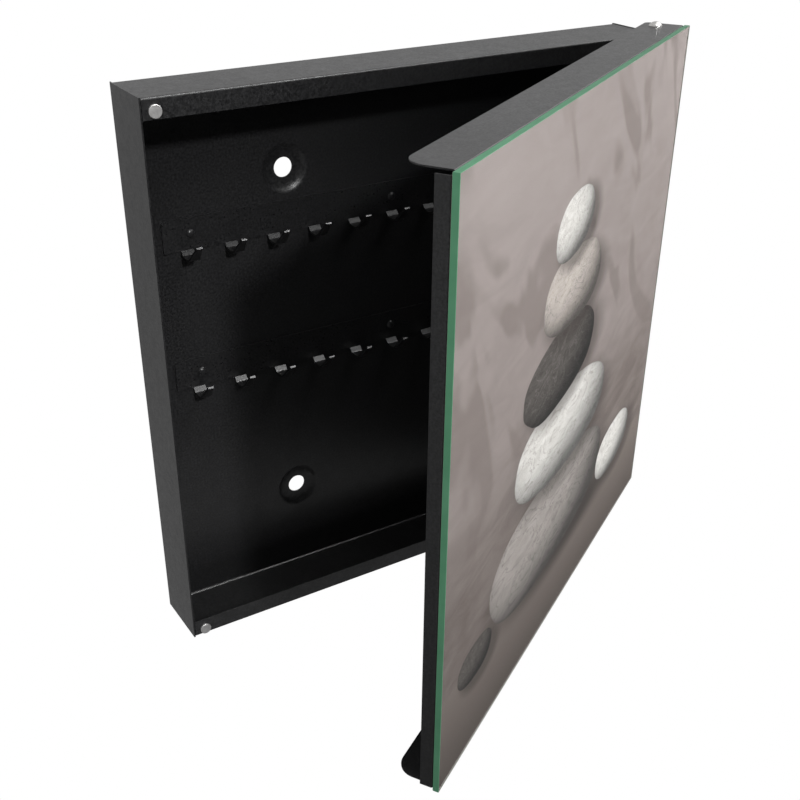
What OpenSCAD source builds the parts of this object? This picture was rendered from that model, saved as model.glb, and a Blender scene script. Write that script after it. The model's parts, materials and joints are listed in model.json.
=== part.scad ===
/* [Case] */
// Width of the case over its side walls (mm)
case_w = 306; // [260:1:360]
// Height of the case over its top and bottom walls (mm)
case_h = 300.6; // [260:0.2:360]
// Depth of the case from the back panel to the front edges (mm)
case_d = 38; // [34:0.5:60]
// Sheet thickness of the case (mm)
sheet = 0.8; // [0.7:0.1:1.2]
// Height of the lips turned in along the top and bottom front edges (mm)
lip_h = 10; // [9:0.5:14]

/* [Wall holes] */
// Distance between the two columns of wall holes (mm)
hole_dx = 129; // [100:1:160]
// Distance between the two rows of wall holes (mm)
hole_dz = 194; // [190:1:200]
// Radius of a wall hole (mm)
hole_r = 5.3; // [3:0.1:6]
// Radius of the pressed dish around a wall hole (mm)
dish_r = 13.4; // [11:0.1:15]
// How far a dish stands out behind the back panel, onto the wall (mm)
dish_d = 2.5; // [2:0.1:3]

/* [Hook rails] */
// Hooks on one rail
hooks = 11; // [7:2:11]
// Distance from hook to hook (mm)
hook_pitch = 24.5; // [22:0.1:25]
// Height of the rail strip (mm)
rail_h = 17.2; // [15:0.1:22]
// Height of the upper rail's middle above the case's middle (mm)
rail_z_up = 72; // [66:0.1:78]
// Height of the lower rail's middle above the case's middle (mm)
rail_z_low = -5.7; // [-14:0.1:-2]
// How far the hook tips stand in front of the rail (mm)
hook_reach = 16.9; // [14:0.1:18]
// How far the hook tips stand above the rail's bottom edge (mm)
hook_rise = 6.3; // [5:0.1:9]

/* [Door] */
// Opening angle of the door in the modelled pose (degrees)
door_open = 31.5; // [0:0.1:90]
// Thickness of the glass pane (mm)
glass_t = 3.2; // [3:0.1:6]
// How far the glass covers the case above and below (mm)
door_over = 1.7; // [1.6:0.05:2.6]
// How far the glass covers the case at its free side (mm)
over_free = 1.2; // [1.2:0.1:2.5]
// How far the glass covers the case at its hinge side (mm)
over_hinge = 19.5; // [19:0.1:24]
// Depth of the door's top and bottom flanges behind the glass front (mm)
flange_d = 25.5; // [24:0.1:30]
// Depth of the door's side flanges behind the glass front (mm)
side_d = 10.1; // [9:0.1:12]

/* [Hinge] */
// Distance of the pivot outside the case's hinge side wall (mm)
pivot_out = 9.2; // [8:0.1:10]
// Distance of the pivot behind the case's front edges (mm)
pivot_in = 12; // [11:0.1:15]
// Shank radius of the pivot rivets (mm)
pivot_r = 2.0; // [1.6:0.1:2.4]
// Head radius of the pivot rivets (mm)
pivot_head_r = 4.0; // [3.5:0.1:5]

/* [Hidden] */
$fn = 64;
gold = [0.75, 0.75, 0.77];
black = [0.16, 0.16, 0.17];

// Heights and depths measured from the wall plane at y = 0
back_y = -dish_d;
panel_y = back_y - sheet;
front_y = back_y - case_d;
half_w = case_w / 2;
half_h = case_h / 2;
bend_r = sheet + 0.3;
back_r = sheet + 1.4;
edge_proud = 0.3;
seam = 0.3;

// Running fits
fit = 0.08;
play = 0.1;

// Magnet catches on the free side, bonded to the lips
magnet_r = 3.15;
magnet_t = 1.0;
magnet_x = -half_w + 7.1;
magnet_z_top = half_h - 6.3;
magnet_z_low = -half_h + 3.5;

// Rails
rail_t = 1.0;
rail_y = panel_y - rail_t;
rail_end = 12.6;
rail_w = (hooks - 1) * hook_pitch + 2 * rail_end;
rail_corner = 2;
tab_w = 6.75;
tip_w = 2.8;
rivet_r = 1.6;
rivet_head = 2.4;
rivet_dx = (hooks - 1) * hook_pitch / 2 - 2.5;

// Door, stated as if it were closed
tape_t = 0.15;
print_t = 0.1;
frame_t = 0.7;
frame_bend = 0.9;
front_gap = 1.1;
frame_in = front_y - front_gap;
frame_out = frame_in - frame_t;
glass_back = frame_out - tape_t - print_t;
glass_front = glass_back - glass_t;
door_l = -half_w - over_free;
door_r = half_w + over_hinge;
door_z = half_h + door_over;
frame_l = door_l + 0.05;
frame_r = door_r - 1.2;
flange_l = -half_w + 2.1;
flange_y = glass_front + flange_d;
side_y = glass_front + side_d;
side_z = half_h + 0.3;
flange_corner = 9.7;
flange_low = door_z - frame_t;

// Hinge
pivot_x = half_w + pivot_out;
pivot_y = front_y + pivot_in;
bracket_t = 1.5;
bracket_w = 14;
bracket_h = 26;
ear_r = 5.5;
washer_r = 5;
washer_t = flange_low - half_h - play;
head_h = 2.3;
tail_h = 1.3;
tail_r = 3.2;
bracket_rivet_r = 1.5;

// Turns the door from its closed place to the modelled pose
module open_door() {
    translate([pivot_x, pivot_y, 0]) rotate([0, 0, door_open])
        translate([-pivot_x, -pivot_y, 0]) children();
}

// A flat rectangle from two corners, standing in the side view: first is y, second is z
module along_x(x0, x1) {
    translate([x0, 0, 0]) rotate([90, 0, 90]) linear_extrude(height = x1 - x0) children();
}

module round_rect(x0, y0, x1, y1, r) {
    translate([x0 + r, y0]) square([x1 - x0 - 2 * r, y1 - y0]);
    translate([x0, y0 + r]) square([x1 - x0, y1 - y0 - 2 * r]);
    for (x = [x0 + r, x1 - r]) for (y = [y0 + r, y1 - r]) translate([x, y]) circle(r = r);
}

// A cylinder along y, from y0 to y1
module rod_y(x, z, r, y0, y1) {
    translate([x, y1, z]) rotate([90, 0, 0]) cylinder(r = r, h = y1 - y0);
}

// A turned piece on an axis along y, its outline given as radius and distance to the front
module turned_y(x, z, outline) {
    translate([x, 0, z]) rotate([90, 0, 0]) rotate_extrude() polygon(outline);
}

// The outline of a low dome head from its rim to its top, standing on height h0
function dome(r, h, h0, n = 10) =
    let (big = (r * r + h * h) / (2 * h), a = asin(r / big))
    [for (i = [0 : n]) [big * sin(a * (1 - i / n)), h0 + h - big + big * cos(a * (1 - i / n))]];

module wall_holes() {
    for (x = [-hole_dx / 2, hole_dx / 2]) for (z = [-hole_dz / 2, hole_dz / 2])
        translate([x, 0, z]) children();
}

// A section seen from the side, with small front corners and larger back corners
module tray_section(y0, y1, z, rf, rb) {
    translate([y0 + rf, -z]) square([y1 - y0 - rf - rb, 2 * z]);
    translate([y0, rf - z]) square([rf + 1, 2 * (z - rf)]);
    translate([y1 - rb - 1, rb - z]) square([rb + 1, 2 * (z - rb)]);
    for (s = [-1, 1]) {
        translate([y0 + rf, s * (z - rf)]) circle(r = rf);
        translate([y1 - rb, s * (z - rb)]) circle(r = rb);
    }
}

// One folded sheet: back panel, four walls, two lips and four pressed dishes
module case_tray() {
    flat_r = dish_r - 3.9;
    color(black) difference() {
        union() {
            intersection() {
                union() {
                    // back, top, bottom and lips in one section
                    along_x(-half_w, half_w) difference() {
                        tray_section(front_y, back_y, half_h, bend_r, back_r);
                        tray_section(front_y + sheet, panel_y, half_h - sheet, bend_r - sheet, back_r - sheet);
                        translate([front_y - 1, -half_h + lip_h])
                            square([sheet + 2, case_h - 2 * lip_h]);
                    }
                    // side walls, cut square and standing a little over the top and bottom bends
                    for (x = [-half_w, half_w - sheet]) translate([x, front_y, -half_h - edge_proud])
                        cube([sheet, case_d, case_h + 2 * edge_proud]);
                }
                // rounds the upright bends behind the side walls
                translate([0, 0, -half_h - 2]) linear_extrude(height = case_h + 4) {
                    round_rect(-half_w, front_y + 5, half_w, back_y, back_r);
                    translate([-half_w, front_y - 1]) square([case_w, case_d / 2]);
                }
            }
            wall_holes() rotate([90, 0, 0]) rotate_extrude()
                polygon([[hole_r, 0], [flat_r, 0], [dish_r, dish_d], [dish_r + 1.2, dish_d],
                         [dish_r + 1.2, dish_d + sheet], [dish_r + 0.35, dish_d + sheet],
                         [flat_r + 0.35, sheet], [hole_r, sheet]]);
        }
        // opens the panel over the dishes and cuts the holes
        wall_holes() rotate([90, 0, 0]) rotate_extrude()
            polygon([[0, -1], [hole_r, -1], [hole_r, sheet], [flat_r + 0.35, sheet],
                     [dish_r + 0.35, dish_d + sheet], [dish_r + 0.35, dish_d + sheet + 2],
                     [0, dish_d + sheet + 2]]);
        for (z = [rail_z_up, rail_z_low]) for (x = [-rivet_dx, 0, rivet_dx])
            rod_y(x, z, rivet_r, panel_y - 1, back_y + 1);
        // seams between the lips and the side walls
        for (x = [-half_w + sheet, half_w - sheet - seam]) for (z = [-half_h - 1, half_h - lip_h - 1])
            translate([x, front_y - 1, z]) cube([seam, bend_r + 1, lip_h + 2]);
        for (s = [-1, 1]) bracket_places(s)
            rotate([0, 90, 0]) translate([0, 0, -3]) cylinder(r = bracket_rivet_r, h = 6);
    }
}

function unit(v) = v / norm(v);

// Rounds the corners of an open path: each corner is [first, second, radius]
function rounded(c, n = 6) = [for (i = [0 : len(c) - 1]) each (i == 0 || i == len(c) - 1)
    ? [[c[i][0], c[i][1]]]
    : let (p = [c[i][0], c[i][1]], u = unit([c[i - 1][0], c[i - 1][1]] - p),
           v = unit([c[i + 1][0], c[i + 1][1]] - p), half = acos(u * v) / 2, r = c[i][2],
           m = p + unit(u + v) * r / sin(half), a = p + u * r / tan(half) - m, b = p + v * r / tan(half) - m,
           a0 = atan2(a[1], a[0]), turn = (atan2(b[1], b[0]) - a0 + 540) % 360 - 180)
      [for (k = [0 : n]) m + r * [cos(a0 + turn * k / n), sin(a0 + turn * k / n)]]];

// The side view of one hook: out of the rail by a sloping shelf, a shallow trough, up to the tip
function hook_path(zb) = let (y0 = rail_y + rail_t / 2)
    rounded([[y0, zb + 2.5, 0], [y0, zb + 0.1, 0.8], [y0 - 2.6, zb - 2.5, 2], [y0 - 8.4, zb - 3.1, 5],
             [y0 - hook_reach, zb + hook_rise, 0]]);

// Unit normal at point i of a path
function side_of(p, i) =
    let (a = p[max(i - 1, 0)], b = p[min(i + 1, len(p) - 1)], d = b - a, n = norm(d))
    [-d[1] / n, d[0] / n];

function band(p, t) = concat(
    [for (i = [0 : len(p) - 1]) p[i] + side_of(p, i) * t / 2],
    [for (i = [len(p) - 1 : -1 : 0]) p[i] - side_of(p, i) * t / 2]);

// A wide strip at the shelf, tapering along the arm to the tip
module hook(x, zb) {
    path = hook_path(zb);
    y0 = rail_y + rail_t / 2;
    half = [[-4, tab_w / 2], [2.6, tab_w / 2], [3.2, tab_w / 2 - 0.12], [9, tab_w / 2 - 0.42],
            [hook_reach + 1, tip_w / 2]];
    intersection() {
        along_x(x - tab_w, x + tab_w) polygon(band(path, rail_t));
        translate([x, y0, zb - 20]) linear_extrude(height = 40)
            polygon(concat([for (q = half) [q[1], -q[0]]],
                           [for (i = [len(half) - 1 : -1 : 0]) [-half[i][1], -half[i][0]]]));
    }
}

// A strip with rounded top corners and its row of hooks, cut and bent from one sheet
module rail(zm) {
    zb = zm - rail_h / 2;
    color(black) difference() {
        union() {
            translate([0, panel_y, 0]) rotate([90, 0, 0]) linear_extrude(height = rail_t) {
                translate([-rail_w / 2, zb]) square([rail_w, rail_h - rail_corner]);
                translate([-rail_w / 2 + rail_corner, zb]) square([rail_w - 2 * rail_corner, rail_h]);
                for (s = [-1, 1]) translate([s * (rail_w / 2 - rail_corner), zb + rail_h - rail_corner])
                    circle(r = rail_corner);
            }
            for (i = [0 : hooks - 1]) hook((i - (hooks - 1) / 2) * hook_pitch, zb);
        }
        for (x = [-rivet_dx, 0, rivet_dx]) rod_y(x, zm, rivet_r, rail_y - 1, panel_y + 1);
    }
}

module rail_upper() { rail(rail_z_up); }
module rail_lower() { rail(rail_z_low); }

// Blind rivets: a low head on the rail, a shank and a formed end behind the panel
module rail_rivets(zm) {
    h = -rail_y;
    color(black) for (x = [-rivet_dx, 0, rivet_dx])
        turned_y(x, zm, concat([[0, -back_y - 1.1], [rivet_head, -back_y - 1.1], [rivet_head, -back_y],
                                [rivet_r, -back_y], [rivet_r, h]], dome(rivet_head, 1.1, h)));
}

module rail_upper_rivets() { rail_rivets(rail_z_up); }
module rail_lower_rivets() { rail_rivets(rail_z_low); }

// A disc bonded to the front of the lip
module magnet(z) {
    color(gold) turned_y(magnet_x, z, [[0, -front_y], [magnet_r, -front_y],
        [magnet_r, -front_y + magnet_t - 0.2], [magnet_r - 0.2, -front_y + magnet_t], [0, -front_y + magnet_t]]);
}

module magnet_top() { magnet(magnet_z_top); }
module magnet_bottom() { magnet(magnet_z_low); }

// The two rivets of one hinge bracket, at its upright leaf
module bracket_places(s) {
    for (dy = [-3.6, 3.6])
        translate([half_w, pivot_y + dy, s * (half_h - bracket_h + 7)]) children();
}

// An angle on the hinge side wall: upright leaf, bend and an ear that carries the pivot
module hinge_bracket(s) {
    y0 = pivot_y - bracket_w / 2;
    color(black) mirror([0, 0, s < 0 ? 1 : 0]) difference() {
        union() {
            translate([0, pivot_y + bracket_w / 2, 0]) rotate([90, 0, 0]) linear_extrude(height = bracket_w)
                difference() {
                    union() {
                        translate([half_w, half_h - bracket_h]) square([bracket_t, bracket_h - 2]);
                        translate([half_w + 2, half_h - bracket_t]) square([pivot_out - 2, bracket_t]);
                        translate([half_w + 2, half_h - 2]) circle(r = 2);
                    }
                    translate([half_w + bracket_t, half_h - bracket_h]) square([pivot_out, bracket_h - bracket_t - 0.5]);
                }
            // rounded end of the ear
            translate([pivot_x, pivot_y, half_h - bracket_t]) cylinder(r = ear_r, h = bracket_t);
        }
        // trims the ear to its width beyond the wall
        for (m = [-1, 1]) translate([half_w + 4, pivot_y + m * (ear_r + 5) - 5, half_h - bracket_t - 1])
            cube([pivot_out + ear_r, 10, bracket_t + 2]);
        translate([pivot_x, pivot_y, half_h - 5]) cylinder(r = pivot_r, h = 10);
        bracket_places(1) rotate([0, 90, 0]) translate([0, 0, -1]) cylinder(r = bracket_rivet_r, h = 6);
    }
}

module hinge_bracket_top() { hinge_bracket(1); }
module hinge_bracket_bottom() { hinge_bracket(-1); }

// Low heads outside the bracket, formed ends inside the side wall
module bracket_rivets(s) {
    color(gold) bracket_places(s) rotate([0, 90, 0]) rotate_extrude()
        polygon(concat([[0, -sheet - 1.0], [2.3, -sheet - 1.0], [2.3, -sheet], [bracket_rivet_r, -sheet],
                        [bracket_rivet_r, bracket_t]], dome(2.4, 1.0, bracket_t)));
}

module bracket_rivets_top() { bracket_rivets(1); }
module bracket_rivets_bottom() { bracket_rivets(-1); }

// Shoulder rivet: formed end under the ear, plain shank, domed head over the door flange
module pivot_rivet(s) {
    z_head = door_z + play;
    color(gold) translate([pivot_x, pivot_y, 0]) mirror([0, 0, s < 0 ? 1 : 0]) rotate_extrude()
        polygon(concat([[0, half_h - bracket_t - tail_h], [tail_r - 0.4, half_h - bracket_t - tail_h],
                        [tail_r, half_h - bracket_t - tail_h + 0.4], [tail_r, half_h - bracket_t],
                        [pivot_r, half_h - bracket_t], [pivot_r, z_head]],
                       dome(pivot_head_r, head_h, z_head)));
}

module pivot_rivet_top() { pivot_rivet(1); }
module pivot_rivet_bottom() { pivot_rivet(-1); }

module pivot_washer(s) {
    color([0.85, 0.85, 0.82]) mirror([0, 0, s < 0 ? 1 : 0])
        translate([pivot_x, pivot_y, half_h]) difference() {
            cylinder(r = washer_r, h = washer_t);
            translate([0, 0, -1]) cylinder(r = pivot_r + fit, h = washer_t + 2);
        }
}

module pivot_washer_top() { pivot_washer(1); }
module pivot_washer_bottom() { pivot_washer(-1); }

// The top flange seen from above: one large and one small rounded corner at the back
module flange_plate() {
    c = flange_corner;
    k = 3;
    translate([flange_l + c, frame_out]) square([frame_r - flange_l - c - k, flange_y - frame_out]);
    translate([flange_l, frame_out]) square([frame_r - flange_l, flange_y - frame_out - c]);
    translate([frame_r - c - 1, frame_out]) square([c + 1, flange_y - frame_out - k]);
    translate([flange_l + c, flange_y - c]) circle(r = c);
    translate([frame_r - k, flange_y - k]) circle(r = k);
}

// One folded sheet behind the glass: face, deep top and bottom flanges, shallow side flanges
module door_frame() {
    r = frame_bend;
    k = frame_bend - frame_t;
    far = flange_d + 20;
    color(black) open_door() difference() {
        union() {
            intersection() {
                along_x(flange_l, frame_r) difference() {
                    round_rect(frame_out, -door_z, frame_out + far, door_z, r);
                    round_rect(frame_in, -flange_low, frame_in + far, flange_low, k);
                }
                translate([0, 0, -door_z - 1]) linear_extrude(height = 2 * door_z + 2) flange_plate();
            }
            translate([0, 0, -side_z]) linear_extrude(height = 2 * side_z) intersection() {
                difference() {
                    round_rect(frame_l, frame_out, frame_r, frame_out + far, r);
                    round_rect(frame_l + frame_t, frame_in, frame_r - frame_t, frame_in + far, k);
                }
                translate([frame_l, frame_out]) square([frame_r - frame_l, side_y - frame_out]);
            }
        }
        for (z = [-door_z - 1, flange_low - 1]) translate([pivot_x, pivot_y, z])
            cylinder(r = pivot_r + fit, h = frame_t + 2);
    }
}

// Four strips of double-sided tape around the face
module mounting_tape() {
    w = 12;
    m = 6;
    color([0.9, 0.9, 0.88]) open_door() {
        for (z = [-door_z + m, door_z - m - w]) translate([frame_l + m, frame_out - tape_t, z])
            cube([frame_r - frame_l - 2 * m, tape_t, w]);
        for (x = [frame_l + m, frame_r - m - w]) translate([x, frame_out - tape_t, -door_z + m + w + 4])
            cube([w, tape_t, 2 * (door_z - m - w - 4)]);
    }
}

module print_layer() {
    color([0.6, 0.56, 0.54]) open_door()
        translate([door_l + 0.2, glass_back, -door_z + 0.2])
            cube([door_r - door_l - 0.4, print_t, 2 * door_z - 0.4]);
}

// The pane, its long edges eased by a narrow bevel
module glass_pane() {
    b = 0.15;
    color([0.62, 0.8, 0.7, 0.6]) open_door() intersection() {
        translate([0, 0, -door_z]) linear_extrude(height = 2 * door_z)
            polygon([[door_l + b, glass_front], [door_r - b, glass_front], [door_r, glass_front + b],
                     [door_r, glass_back - b], [door_r - b, glass_back], [door_l + b, glass_back],
                     [door_l, glass_back - b], [door_l, glass_front + b]]);
        along_x(door_l - 1, door_r + 1)
            polygon([[glass_front, -door_z + b], [glass_front, door_z - b], [glass_front + b, door_z],
                     [glass_back - b, door_z], [glass_back, door_z - b], [glass_back, -door_z + b],
                     [glass_back - b, -door_z], [glass_front + b, -door_z]]);
    }
}

case_tray();
rail_upper();
rail_lower();
rail_upper_rivets();
rail_lower_rivets();
magnet_top();
magnet_bottom();
hinge_bracket_top();
hinge_bracket_bottom();
bracket_rivets_top();
bracket_rivets_bottom();
pivot_rivet_top();
pivot_rivet_bottom();
pivot_washer_top();
pivot_washer_bottom();
door_frame();
mounting_tape();
print_layer();
glass_pane();
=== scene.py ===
import bpy, bmesh, json, math
from mathutils import Matrix, Vector


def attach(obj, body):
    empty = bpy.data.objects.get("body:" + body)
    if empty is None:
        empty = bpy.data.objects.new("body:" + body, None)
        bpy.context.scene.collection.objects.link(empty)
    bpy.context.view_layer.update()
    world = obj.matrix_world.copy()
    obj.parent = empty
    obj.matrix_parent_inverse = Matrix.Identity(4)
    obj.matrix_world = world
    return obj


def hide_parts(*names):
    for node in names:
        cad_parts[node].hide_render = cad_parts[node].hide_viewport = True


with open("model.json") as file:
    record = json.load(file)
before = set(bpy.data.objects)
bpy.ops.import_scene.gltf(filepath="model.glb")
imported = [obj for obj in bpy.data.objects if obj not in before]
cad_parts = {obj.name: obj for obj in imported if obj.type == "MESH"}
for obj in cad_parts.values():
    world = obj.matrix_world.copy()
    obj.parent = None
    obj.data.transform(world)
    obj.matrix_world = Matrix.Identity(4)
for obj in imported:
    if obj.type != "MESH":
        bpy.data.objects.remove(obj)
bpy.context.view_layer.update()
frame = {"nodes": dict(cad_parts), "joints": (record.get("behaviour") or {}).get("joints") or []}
nodes = frame["nodes"]
joint = frame["joints"][0]
scene = bpy.context.scene
scene.view_settings.view_transform = "Standard"

# The door's directions in the modelled pose, from the joint's closed limit
OPEN = math.radians(-joint["range_deg"][0])
ACROSS = Vector((math.cos(OPEN), math.sin(OPEN), 0.0))
FRONT = Vector((math.sin(OPEN), -math.cos(OPEN), 0.0))
UP = Vector((0.0, 0.0, 1.0))


def node_extent(name, axis):
    """The least and the greatest place of a CAD node along an axis."""
    spans = [v.co.dot(axis) for v in nodes[name].data.vertices]
    return min(spans), max(spans)


# ---------------------------------------------------------------- node helpers
class Tree:
    """Short calls for building a node tree."""

    def __init__(self, node_tree):
        self.nt = node_tree

    def add(self, kind, **props):
        n = self.nt.nodes.new(kind)
        for k, v in props.items():
            setattr(n, k, v)
        return n

    def link(self, value, socket):
        """Links a socket, or sets a constant."""
        if isinstance(value, bpy.types.NodeSocket):
            self.nt.links.new(value, socket)
        else:
            socket.default_value = value

    def math(self, op, a, b=0.0):
        n = self.add("ShaderNodeMath", operation=op)
        self.link(a, n.inputs[0])
        self.link(b, n.inputs[1])
        return n.outputs[0]

    def plus(self, a, b):
        return self.math("ADD", a, b)

    def minus(self, a, b):
        return self.math("SUBTRACT", a, b)

    def times(self, a, b):
        return self.math("MULTIPLY", a, b)

    def over(self, a, b):
        return self.math("DIVIDE", a, b)

    def most(self, value, *others):
        for other in others:
            value = self.math("MAXIMUM", value, other)
        return value

    def distance(self, a, b):
        return self.math("SQRT", self.plus(self.times(a, a), self.times(b, b)))

    def dot(self, a, b):
        n = self.add("ShaderNodeVectorMath", operation="DOT_PRODUCT")
        self.link(a, n.inputs[0])
        self.link(b, n.inputs[1])
        return n.outputs["Value"]

    def combine(self, x, y, z=0.0):
        n = self.add("ShaderNodeCombineXYZ")
        for value, socket in zip((x, y, z), n.inputs):
            self.link(value, socket)
        return n.outputs[0]

    def place(self):
        return self.add("ShaderNodeTexCoord").outputs["Object"]

    def ray(self, kind):
        return self.add("ShaderNodeLightPath").outputs[f"Is {kind} Ray"]

    def noise(self, vector, scale, detail=3.0, rough=0.6, distort=0.0):
        n = self.add("ShaderNodeTexNoise")
        self.link(vector, n.inputs["Vector"])
        for k, v in (("Scale", scale), ("Detail", detail), ("Roughness", rough),
                     ("Distortion", distort)):
            n.inputs[k].default_value = v
        return n.outputs["Fac"]

    def ramp(self, fac, stops):
        """A smooth ramp through places and their colours."""
        n = self.add("ShaderNodeValToRGB")
        n.color_ramp.interpolation = "EASE"
        elements = n.color_ramp.elements
        while len(elements) < len(stops):
            elements.new(0.5)
        for element, (at, colour) in zip(elements, stops):
            element.position = at
            element.color = (*colour, 1.0)
        self.link(fac, n.inputs[0])
        return n.outputs[0]

    def mix(self, fac, a, b, kind="MIX"):
        n = self.add("ShaderNodeMix", data_type="RGBA", blend_type=kind)
        self.link(fac, n.inputs[0])
        for v, s in ((a, n.inputs[6]), (b, n.inputs[7])):
            self.link(v if isinstance(v, bpy.types.NodeSocket) else (*v, 1.0), s)
        return n.outputs[2]

    def multiply(self, colour, factor):
        return self.mix(1.0, colour, self.combine(factor, factor, factor), "MULTIPLY")

    def remap(self, value, from_a, from_b, to_a, to_b, smooth=False):
        """Carries from_a to to_a and from_b to to_b, and stays between them."""
        kind = "SMOOTHSTEP" if smooth else "LINEAR"
        n = self.add("ShaderNodeMapRange", interpolation_type=kind)
        for v, socket in zip((value, from_a, from_b, to_a, to_b), n.inputs):
            self.link(v, socket)
        return n.outputs[0]


class Material(Tree):
    """A new material with one Principled shader."""

    def __init__(self, name):
        self.mat = bpy.data.materials.new(name)
        self.mat.use_nodes = True
        super().__init__(self.mat.node_tree)
        self.nt.nodes.clear()
        self.out = self.add("ShaderNodeOutputMaterial")
        self.shader = self.add("ShaderNodeBsdfPrincipled")
        self.link(self.shader.outputs[0], self.out.inputs[0])

    def set(self, **values):
        for k, v in values.items():
            self.link(v, self.shader.inputs[k.replace("_", " ")])

    def bump(self, height, strength, distance):
        n = self.add("ShaderNodeBump")
        n.inputs["Strength"].default_value = strength
        n.inputs["Distance"].default_value = distance
        self.link(height, n.inputs["Height"])
        self.link(n.outputs[0], self.shader.inputs["Normal"])

    def cover(self, fac, other):
        """Mixes another shader over the Principled one."""
        n = self.add("ShaderNodeMixShader")
        for value, socket in zip((fac, self.shader.outputs[0], other.outputs[0]), n.inputs):
            self.link(value, socket)
        self.link(n.outputs[0], self.out.inputs[0])


# ---------------------------------------------------------------- materials
# Noise scales are in cells a metre, bump distances in metres
PAINT_DARK, PAINT_DULL = (0.007, 0.007, 0.0075), (0.010, 0.010, 0.0105)
PAINT_PALE = (0.026, 0.026, 0.027)


def powder_coat(name, smooth, rough, relief):
    """Fine-textured black powder coat: orange peel of a millimetre, finer grain, slow mottling."""
    t = Material(name)
    p = t.place()
    grain = t.noise(p, scale=2600.0, detail=2.0)
    peel = t.noise(p, scale=900.0)
    blotch = t.noise(p, scale=210.0, rough=0.55)
    slow = t.noise(p, scale=16.0, rough=0.5)
    tone = t.mix(t.remap(peel, 0.34, 0.68, 0.0, 1.0), PAINT_DARK, PAINT_PALE)
    tone = t.mix(t.remap(blotch, 0.35, 0.70, 0.0, 0.35), tone, PAINT_DULL)
    wear = t.plus(t.plus(t.times(peel, 0.6), t.times(blotch, 0.25)), t.times(slow, 0.15))
    t.set(Base_Color=tone, Roughness=t.remap(wear, 0.38, 0.62, smooth, rough))
    t.bump(t.plus(peel, t.times(grain, 0.4)), relief, 0.00007)
    return t.mat


def satin_metal(name, colour, rough):
    """Plated metal with a fine satin grain and faint clouds."""
    t = Material(name)
    p = t.place()
    fine = t.noise(p, scale=2200.0)
    cloud = t.noise(p, scale=260.0, rough=0.5)
    dull = tuple(c * 0.82 for c in colour)
    t.set(Base_Color=t.mix(t.remap(cloud, 0.35, 0.65, 0.0, 1.0), dull, colour), Metallic=1.0)
    t.set(Roughness=t.remap(fine, 0.3, 0.7, rough - 0.05, rough + 0.07))
    t.bump(fine, 0.25, 0.00003)
    return t.mat


def painted_head():
    """Rivet heads under the black paint, a little smoother than the sheet."""
    t = Material("painted_rivet_head")
    grain = t.noise(t.place(), scale=1800.0)
    t.set(Base_Color=t.mix(grain, PAINT_DULL, PAINT_PALE))
    t.set(Roughness=t.remap(grain, 0.3, 0.7, 0.26, 0.38))
    t.bump(grain, 0.3, 0.00004)
    return t.mat


def nylon():
    t = Material("washer_nylon")
    cloud = t.noise(t.place(), scale=500.0, detail=2.0, rough=0.5)
    t.set(Base_Color=t.mix(cloud, (0.70, 0.69, 0.64), (0.80, 0.79, 0.75)), Roughness=0.42)
    t.set(Subsurface_Weight=0.1, Subsurface_Scale=0.001)
    t.bump(cloud, 0.2, 0.00003)
    return t.mat


def foam_tape():
    t = Material("foam_tape")
    cells = t.noise(t.place(), scale=1500.0, detail=4.0, rough=0.7)
    t.set(Base_Color=t.mix(cells, (0.62, 0.62, 0.60), (0.82, 0.82, 0.80)), Roughness=0.8)
    t.bump(cells, 0.5, 0.00008)
    return t.mat


def let_light_through(t):
    """Shadow and diffuse rays pass straight through, so what is behind the glass is evenly lit."""
    t.cover(t.most(t.ray("Shadow"), t.ray("Diffuse")), t.add("ShaderNodeBsdfTransparent"))


def glass_face(name, ior):
    """Clear float glass. With an ior of 1 the face mirrors nothing."""
    t = Material(name)
    t.set(Base_Color=(0.965, 0.985, 0.972, 1.0), Roughness=0.0, IOR=ior, Transmission_Weight=1.0)
    let_light_through(t)
    return t.mat


def glass_edge():
    """Ground edge of float glass: saturated green, a little uneven along its length."""
    t = Material("glass_edge_green")
    p = t.place()
    along = t.noise(p, scale=60.0, rough=0.5)
    grind = t.noise(p, scale=3000.0)
    tone = t.mix(t.remap(along, 0.3, 0.7, 0.0, 1.0), (0.072, 0.215, 0.120), (0.098, 0.265, 0.155))
    # painted reflection: seen through the front, the edge is coloured like the print beside it,
    # standing in for the print mirrored inside the glass
    tone = t.mix(t.ray("Transmission"), tone, (0.38, 0.335, 0.320))
    t.set(Base_Color=tone, Roughness=t.remap(grind, 0.3, 0.7, 0.30, 0.45), IOR=1.52)
    t.set(Specular_IOR_Level=0.05)
    # painted glow: the edge emits a faint green light, standing in for the light that the pane
    # leads to its edge
    t.set(Emission_Color=(0.020, 0.052, 0.031, 1.0), Emission_Strength=1.0)
    t.bump(grind, 0.2, 0.00003)
    let_light_through(t)
    return t.mat


# ---------------------------------------------------------------- the printed picture
PEBBLE_INPUTS = {"X": "Float", "Z": "Float", "Centre X": "Float", "Centre Z": "Float",
                 "Half W": "Float", "Half H": "Float", "Tilt": "Float", "Seed": "Float",
                 "Under": "Color", "Tone": "Color", "Vein": "Color"}
PALE, GREY, DARK, SAND = ((0.86, 0.83, 0.80), (0.42, 0.375, 0.355), (0.060, 0.050, 0.046),
                          (0.62, 0.545, 0.505))
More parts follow.
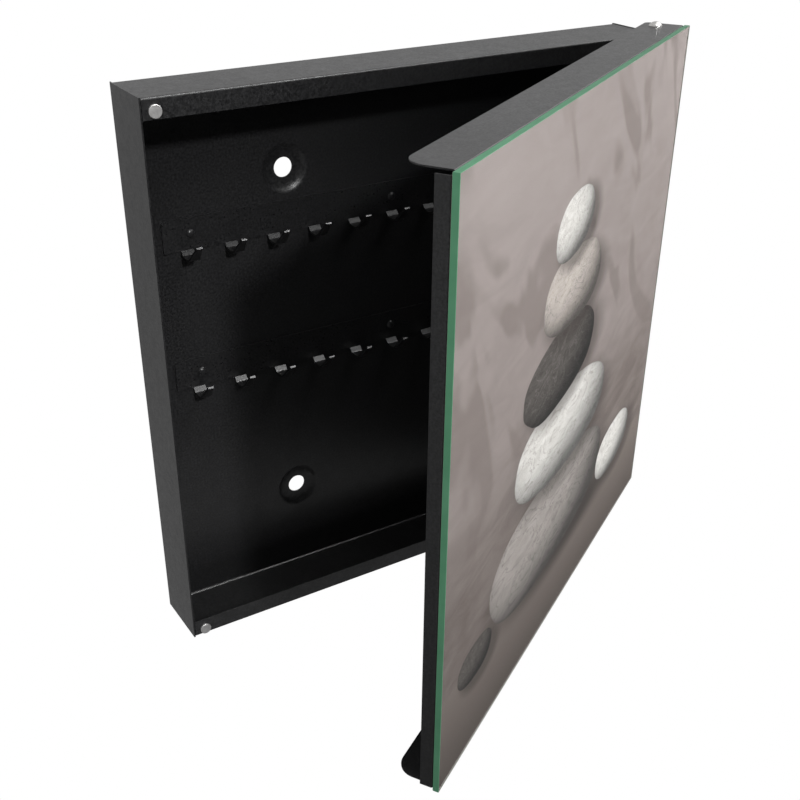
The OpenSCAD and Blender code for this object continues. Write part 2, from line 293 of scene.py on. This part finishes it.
# centre x and z, half width and height, tilt, seed, tone, colour of the veins
PEBBLES = [(-0.020, -0.078, 0.088, 0.0310, 0.02, 1.3, GREY, (0.20, 0.18, 0.17)),
           (-0.012, -0.026, 0.070, 0.0260, -0.05, 4.1, PALE, (0.42, 0.38, 0.36)),
           (-0.022, 0.017, 0.052, 0.0215, 0.06, 7.7, DARK, (0.16, 0.145, 0.135)),
           (-0.014, 0.056, 0.043, 0.0200, -0.03, 9.2, SAND, (0.30, 0.27, 0.25)),
           (-0.019, 0.090, 0.027, 0.0160, 0.12, 12.4, PALE, (0.45, 0.41, 0.39)),
           (0.098, -0.090, 0.034, 0.0170, 0.05, 15.9, PALE, (0.40, 0.365, 0.345)),
           (-0.122, -0.100, 0.021, 0.0110, -0.04, 21.5, DARK, (0.15, 0.135, 0.125))]
HALF_WIDTH, HALF_HEIGHT = 0.165, 0.152
LEDGE_TOP = -0.095
# an oval's power and its root: 2 and 1 draw an ellipse, more and less draw it squarer
POWER, ROOT = 2.35, 0.8511
PEBBLE_SHADE, LEDGE_SHADE = (0.045, 0.034, 0.030), (0.030, 0.023, 0.020)
LEAF_SHADE = (0.150, 0.116, 0.105)


def pebble_group():
    """Draws one smooth pebble, and the soft shadow that it throws, over the picture so far."""
    group = bpy.data.node_groups.new("pebble", "ShaderNodeTree")
    for name, kind in PEBBLE_INPUTS.items():
        group.interface.new_socket(name, in_out="INPUT", socket_type="NodeSocket" + kind)
    group.interface.new_socket("Picture", in_out="OUTPUT", socket_type="NodeSocketColor")
    t = Tree(group)
    given = t.add("NodeGroupInput").outputs
    result = t.add("NodeGroupOutput").inputs["Picture"]

    # the pebble's own axes, in metres and then as shares of its half width and height
    dx, dz = t.minus(given["X"], given["Centre X"]), t.minus(given["Z"], given["Centre Z"])
    cosine, sine = t.math("COSINE", given["Tilt"]), t.math("SINE", given["Tilt"])
    px = t.plus(t.times(dx, cosine), t.times(dz, sine))
    pz = t.minus(t.times(dz, cosine), t.times(dx, sine))
    nx, nz = t.over(px, given["Half W"]), t.over(pz, given["Half H"])

    # a squarish oval, its outline a little lumpy
    at = t.combine(t.times(nx, 0.7), t.times(nz, 0.7), given["Seed"])
    lump = t.minus(t.noise(at, scale=1.1, detail=1.0, rough=0.4), 0.5)
    powers = [t.math("POWER", t.math("ABSOLUTE", n), POWER) for n in (nx, nz)]
    oval = t.math("POWER", t.plus(*powers), ROOT)
    radius = t.plus(oval, t.times(lump, 0.42))
    mask = t.remap(radius, 1.012, 0.985, 0.0, 1.0, True)

    # light from the upper left and the front
    swell = t.math("SQRT", t.most(t.minus(1.0, radius), 0.0))
    lit = t.plus(t.plus(t.times(nx, -0.36), t.times(nz, 0.62)), t.times(swell, 0.70))
    shade = t.remap(lit, -0.35, 1.0, 0.16, 1.05, True)

    # mottling, veins and specks of the stone
    mottled = t.noise(at, scale=7.0, detail=7.0, rough=0.62, distort=0.4)
    speck = t.noise(at, scale=46.0, detail=5.0, rough=0.7)
    lines = t.noise(at, scale=2.6, detail=4.0, distort=1.6)
    vein = t.remap(t.math("ABSOLUTE", t.minus(lines, 0.5)), 0.0, 0.022, 0.75, 0.0, True)
    cloudy, specked = t.remap(mottled, 0.3, 0.7, 0.0, 0.5), t.remap(speck, 0.55, 0.75, 0.0, 0.35)
    body = given["Tone"]
    for share in (cloudy, vein, specked):
        body = t.mix(share, body, given["Vein"])
    body = t.multiply(body, shade)

    # the soft shadow, thrown down and to the right
    right, down, spread = 0.0075, 0.0050, 0.002
    sx = t.over(t.minus(px, right), t.plus(given["Half W"], spread))
    sz = t.over(t.plus(pz, down), t.plus(given["Half H"], spread))
    thrown = t.remap(t.distance(sx, sz), 1.30, 0.80, 0.0, 0.62, True)
    under = t.mix(thrown, given["Under"], PEBBLE_SHADE)
    t.link(t.mix(mask, under, body), result)
    return group


def plaster_wall(t, x, z, cloud):
    """Trowelled plaster, warm at the top and dim towards the floor, with the shade of leaves."""
    height = t.remap(z, -HALF_HEIGHT, HALF_HEIGHT, 0.0, 1.0)
    wall = t.ramp(height, [(0.0, (0.095, 0.073, 0.065)), (0.30, (0.150, 0.119, 0.109)),
                           (0.58, (0.300, 0.253, 0.243)), (1.0, (0.385, 0.330, 0.320))])
    strokes = t.combine(t.times(x, 0.30), z, 0.3)
    trowel = t.noise(strokes, scale=70.0, detail=6.0, rough=0.62, distort=0.8)
    wall = t.mix(t.remap(cloud, 0.3, 0.7, 0.0, 0.26), wall, (0.240, 0.196, 0.182))
    wall = t.mix(t.remap(trowel, 0.38, 0.68, 0.0, 0.16), wall, (0.560, 0.490, 0.470))
    # dappled shade of leaves outside the picture
    slanted = t.combine(t.plus(x, t.times(z, 0.55)), t.times(z, 0.62), 4.0)
    leaf = t.noise(slanted, scale=17.0, detail=2.2, rough=0.5, distort=0.9)
    shade = t.times(t.remap(leaf, 0.50, 0.60, 0.0, 0.42, True),
                    t.remap(z, -0.09, 0.02, 0.0, 1.0, True))
    return t.mix(shade, wall, LEAF_SHADE)


def ledge(t, x, z, cloud, wall):
    """The ledge that the pile lies on, with its soft edge and the pile's shadow along it."""
    wavy = t.plus(z, t.times(cloud, 0.006))
    below = t.remap(wavy, -0.098, -0.094, 1.0, 0.0, True)
    height = t.remap(z, -HALF_HEIGHT, LEDGE_TOP, 0.0, 1.0)
    stone = t.mix(height, (0.085, 0.066, 0.058), (0.205, 0.168, 0.153))
    picture = t.mix(below, wall, stone)
    sx, sz = t.over(t.minus(x, 0.022), 0.125), t.over(t.plus(z, 0.104), 0.020)
    shadow = t.remap(t.distance(sx, sz), 1.0, 0.2, 0.0, 0.88, True)
    return t.mix(shadow, picture, LEDGE_SHADE)


def print_design():
    """A still life in taupe, grey and off-white: a pile of pebbles before a plaster wall."""
    t = Material("print_still_life")
    p = t.place()
    lo, hi = node_extent("print_layer", ACROSS)
    x = t.minus(t.dot(p, tuple(ACROSS)), (lo + hi) / 2)
    z = t.dot(p, tuple(UP))
    flat = t.combine(x, z)
    cloud = t.noise(flat, scale=9.0, detail=5.0, rough=0.55, distort=0.6)
    picture = ledge(t, x, z, cloud, plaster_wall(t, x, z, cloud))
    group = pebble_group()
    for cx, cz, half_w, half_h, tilt, seed, tone, vein in PEBBLES:
        n = t.add("ShaderNodeGroup", node_tree=group)
        values = (x, z, cx, cz, half_w, half_h, tilt, seed, picture, (*tone, 1.0), (*vein, 1.0))
        for value, socket in zip(values, n.inputs):
            t.link(value, socket)
        picture = n.outputs[0]
    # painted light: the print's colour is made brighter towards its right side, standing in for
    # more light falling there
    picture = t.multiply(picture, t.remap(x, -HALF_WIDTH, HALF_WIDTH, 0.77, 1.32))
    grain = t.noise(flat, scale=1600.0, detail=2.0, rough=0.5)
    picture = t.mix(t.remap(grain, 0.3, 0.7, 0.0, 0.06), picture, (0.5, 0.5, 0.5))
    t.set(Base_Color=picture, Roughness=0.6, Specular_IOR_Level=0.0)
    return t.mat


# ---------------------------------------------------------------- finishes of the nodes
coat = powder_coat("powder_coat_black", 0.31, 0.45, 0.7)
rail_coat = powder_coat("powder_coat_rail", 0.27, 0.35, 0.22)
head = painted_head()
nickel = satin_metal("magnet_nickel", (0.86, 0.85, 0.84), 0.50)
zinc = satin_metal("rivet_zinc", (0.66, 0.65, 0.63), 0.28)
washer = nylon()
finish = {
    "case_tray": coat, "door_frame": coat, "hinge_bracket_top": coat, "hinge_bracket_bottom": coat,
    "rail_upper": rail_coat, "rail_lower": rail_coat,
    "rail_upper_rivets": head, "rail_lower_rivets": head,
    "magnet_top": nickel, "magnet_bottom": nickel,
    "bracket_rivets_top": zinc, "bracket_rivets_bottom": zinc,
    "pivot_rivet_top": zinc, "pivot_rivet_bottom": zinc,
    "pivot_washer_top": washer, "pivot_washer_bottom": washer,
    "mounting_tape": foam_tape(),
}
for name, mat in finish.items():
    nodes[name].data.materials.clear()
    nodes[name].data.materials.append(mat)

# The pane: clear front, a back that mirrors nothing because the print is bonded to it, green edges
CLEAR, EDGE, BONDED = 0, 1, 2
FACING = 0.95
pane = nodes["glass_pane"].data
pane.materials.clear()
for mat in (glass_face("glass_clear", 1.52), glass_edge(), glass_face("glass_bonded", 1.0)):
    pane.materials.append(mat)
for f in pane.polygons:
    out = f.normal.dot(FRONT)
    f.material_index = CLEAR if out > FACING else BONDED if out < -FACING else EDGE

# ---------------------------------------------------------------- pieces that stand for nodes
CASE_EASE, DOOR_EASE = 0.00013, 0.00012
SAME_POINT, SLIVER = 1e-7, 2e-6
SAME_FACE = math.radians(0.6)
CUT_EDGE = math.radians(50.0)
CREASE = math.radians(31.0)
FACE_WEIGHT = 80


def eased(name, body, width):
    """Stands for a sheet node: the same sheet, its cut edges rounded so that they catch light."""
    bm = bmesh.new()
    bm.from_mesh(nodes[name].data)
    bmesh.ops.remove_doubles(bm, verts=bm.verts, dist=SAME_POINT)
    bmesh.ops.dissolve_limit(bm, angle_limit=SAME_FACE, verts=bm.verts, edges=bm.edges)
    cut = [e for e in bm.edges if e.is_convex and e.calc_face_angle(0.0) > CUT_EDGE]
    bmesh.ops.bevel(bm, geom=cut, offset=width, offset_type="OFFSET", segments=3, profile=0.5,
                    affect="EDGES", clamp_overlap=True)
    bmesh.ops.dissolve_degenerate(bm, dist=SLIVER, edges=bm.edges)
    bmesh.ops.triangulate(bm, faces=bm.faces)
    me = bpy.data.meshes.new(name + "_eased")
    bm.to_mesh(me)
    bm.free()
    for f in me.polygons:
        f.use_smooth = True
    me.set_sharp_from_angle(angle=CREASE)
    me.materials.append(finish[name])
    o = bpy.data.objects.new(name + "_eased", me)
    scene.collection.objects.link(o)
    # large flat faces keep their own normals, and the narrow rounding takes the turn
    even = o.modifiers.new("even", "WEIGHTED_NORMAL")
    even.keep_sharp = True
    even.weight = FACE_WEIGHT
    bpy.context.view_layer.update()
    shown = o.evaluated_get(bpy.context.evaluated_depsgraph_get())
    done = bpy.data.meshes.new_from_object(shown)
    o.modifiers.clear()
    o.data = done
    done.name = name + "_eased"
    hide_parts(name)
    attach(o, body)


for name in ("case_tray", "hinge_bracket_top", "hinge_bracket_bottom"):
    eased(name, "case", CASE_EASE)
eased("door_frame", "door", DOOR_EASE)


def printed_film():
    """The film as its own thin sheet, a hair behind the glass so that no two faces coincide."""
    a0, a1 = node_extent("print_layer", ACROSS)
    z0, z1 = node_extent("print_layer", UP)
    f0, f1 = node_extent("print_layer", FRONT)
    depth = f1 - f0
    rim = 0.00006
    # where each ring lies along FRONT, and how far it is drawn in
    levels = ((f0 + 0.1 * depth, rim), (f0 + 0.2 * depth, 0.0),
              (f1 - 0.30 * depth, 0.0), (f1 - 0.25 * depth, rim))
    bm = bmesh.new()
    rings = []
    for f, inset in levels:
        corners = ((a0 + inset, z0 + inset), (a1 - inset, z0 + inset),
                   (a1 - inset, z1 - inset), (a0 + inset, z1 - inset))
        rings.append([bm.verts.new(ACROSS * a + FRONT * f + UP * z) for a, z in corners])
    for lower, upper in zip(rings, rings[1:]):
        for k in range(4):
            bm.faces.new((lower[k], lower[(k + 1) % 4], upper[(k + 1) % 4], upper[k]))
    bm.faces.new(rings[0][::-1])
    bm.faces.new(rings[-1])
    bmesh.ops.recalc_face_normals(bm, faces=bm.faces)
    me = bpy.data.meshes.new("printed_film")
    bm.to_mesh(me)
    bm.free()
    o = bpy.data.objects.new("printed_film", me)
    scene.collection.objects.link(o)
    me.materials.append(print_design())
    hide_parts("print_layer")
    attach(o, "door")


printed_film()

# ---------------------------------------------------------------- studio
FLOOR_Z = -0.95
FLOOR_SIZE = 12.0
UNSEEN = 0.001
AMBIENT = 0.2


def floor_material():
    """White for the camera, pale for what it lights, and a graded painted glow that only glossy
    rays see.
    """
    t = Material("pale_floor")
    p = t.place()
    tone = t.mix(t.noise(p, scale=3.0, rough=0.5), (0.80, 0.80, 0.80), (0.86, 0.86, 0.86))
    t.set(Base_Color=tone, Roughness=0.9)
    # painted glow for gloss: the floor glows pale behind and at the left, brighter in a painted
    # patch in front, dim where the glass looks
    x, y = t.dot(p, (1.0, 0.0, 0.0)), t.dot(p, (0.0, 1.0, 0.0))
    lean = t.plus(t.times(t.most(x, 0.0), -0.5), t.times(t.math("MINIMUM", x, 0.0), -0.4))
    behind = t.remap(t.plus(y, lean), -0.6, 1.2, 0.07, 0.42, True)
    patch = t.times(t.remap(y, -0.6, -1.0, 0.0, 0.38, True), t.remap(y, -3.2, -2.2, 0.0, 1.0, True))
    seen = t.most(t.ray("Camera"), t.ray("Transmission"),
                  t.times(t.ray("Glossy"), t.most(behind, patch)))
    glow = t.add("ShaderNodeEmission")
    t.link(seen, glow.inputs["Strength"])
    t.cover(t.math("GREATER_THAN", seen, UNSEEN), glow)
    return t.mat


def floor():
    bpy.ops.mesh.primitive_plane_add(size=FLOOR_SIZE, location=(0.0, 0.0, FLOOR_Z))
    o = bpy.context.object
    o.name = "floor"
    o.data.materials.append(floor_material())


def backdrop():
    """White for the camera, a darker studio on the photographer's side for gloss."""
    world = bpy.data.worlds.new("studio")
    scene.world = world
    world.use_nodes = True
    world.node_tree.nodes.clear()
    t = Tree(world.node_tree)
    toward = t.add("ShaderNodeTexCoord").outputs["Generated"]
    behind = t.remap(t.dot(toward, (-0.6, 1.0, 0.25)), -0.35, 0.30, 0.07, 0.67, True)
    seen = t.most(t.times(t.ray("Glossy"), behind), t.ray("Camera"), t.ray("Transmission"))
    ambient = t.times(t.math("LESS_THAN", seen, UNSEEN), AMBIENT)
    back = t.add("ShaderNodeBackground")
    back.inputs["Color"].default_value = (1.0, 1.0, 1.0, 1.0)
    t.link(t.most(seen, ambient), back.inputs["Strength"])
    t.link(back.outputs[0], t.add("ShaderNodeOutputWorld").inputs[0])


floor()
backdrop()


def aim(name, data, place, target):
    o = bpy.data.objects.new(name, data)
    o.location = place
    o.rotation_euler = (Vector(target) - Vector(place)).to_track_quat("-Z", "Y").to_euler()
    scene.collection.objects.link(o)
    return o


def lamp(name, place, target, size, power):
    data = bpy.data.lights.new(name, "AREA")
    data.shape = "RECTANGLE"
    data.size, data.size_y = size
    data.energy = power
    return aim(name, data, place, target)


# a compact light straight ahead, fading towards the hinge
key = bpy.data.lights.new("key", "SPOT")
key.energy = 196.0
key.spot_size = math.radians(13.0)
key.spot_blend = 1.0
key.shadow_soft_size = 0.12
aim("key", key, (-0.14, -2.18, 1.45), (-0.21, 0.0, 0.03))

# broad fills under it, over the door and from the right; two of them leave no image in the glass
CENTRE = (0.0, 0.0, 0.0)
lamp("low_front", (0.2, -2.3, -0.6), CENTRE, (1.5, 0.5), 3.6).visible_glossy = False
lamp("top_front", (0.86, -0.88, 1.68), CENTRE, (0.6, 1.1), 12.5)
door_light = lamp("door_light", (1.5, -1.5, -0.1), (0.05, -0.12, 0.0), (1.2, 1.2), 30.0)
door_light.visible_glossy = False
lamp("right_high", (1.6, 0.2, 1.25), (0.1, 0.0, 0.0), (1.0, 1.0), 12.0)
# a strip overhead that only the rounded front bend mirrors
strip = lamp("bend_strip", (0.58, -0.46, 1.9), (-0.1, -0.04, 0.15), (0.1, 0.6), 20.0)
strip.visible_diffuse = False

# ---------------------------------------------------------------- camera
EYE = (-0.32662, -0.52918, 0.26844)
RIGHT = (0.84785, -0.53020, 0.00702)
DOWN = (-0.26049, -0.42801, -0.86542)
AHEAD = (0.46185, 0.73192, -0.50099)
cam_data = bpy.data.cameras.new("camera")
cam_data.sensor_width = 36.0
cam_data.lens = 51.227
# the photograph's middle isn't where its camera pointed
cam_data.shift_x = 0.00459
cam_data.shift_y = 0.05894
cam_data.clip_start = 0.01
cam = bpy.data.objects.new("camera", cam_data)
turn = Matrix((RIGHT, [-c for c in DOWN], [-c for c in AHEAD])).transposed()
cam.matrix_world = Matrix.Translation(EYE) @ turn.to_4x4()
scene.collection.objects.link(cam)
scene.camera = cam
